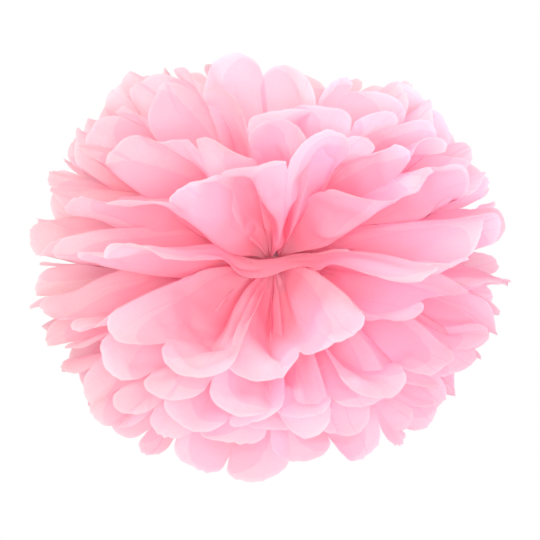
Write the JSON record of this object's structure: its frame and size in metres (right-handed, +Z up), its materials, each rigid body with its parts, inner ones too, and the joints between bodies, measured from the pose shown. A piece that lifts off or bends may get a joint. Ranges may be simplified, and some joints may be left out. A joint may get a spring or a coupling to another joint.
{
  "type": "tissue paper pom pom",
  "caption": "Ball of round tissue paper petals: sheets fan-folded together, tied round the middle with wire, fanned out and pulled apart.",
  "frame": {"origin": "middle of the tie, where the wire passes round the gathered sheets", "axes": "+X along the paper out of the tie, through the middle of one fan; +Z up, along the wire's twist; the seams between the two fans face -Y, the front, and +Y"},
  "size_m": [0.3436, 0.3537, 0.2724],
  "materials": {
    "tissue": "matte tissue paper",
    "wire": "bare florist's wire"
  },
  "bodies": {
    "root": {"tissue_sheet_01": "tissue", "tissue_sheet_02": "tissue", "tissue_sheet_03": "tissue", "tissue_sheet_04": "tissue", "tissue_sheet_05": "tissue", "tissue_sheet_06": "tissue", "tissue_sheet_07": "tissue", "tissue_sheet_08": "tissue", "tissue_sheet_09": "tissue", "tissue_sheet_10": "tissue", "tie_wire": "wire"}
  },
  "joints": []
}
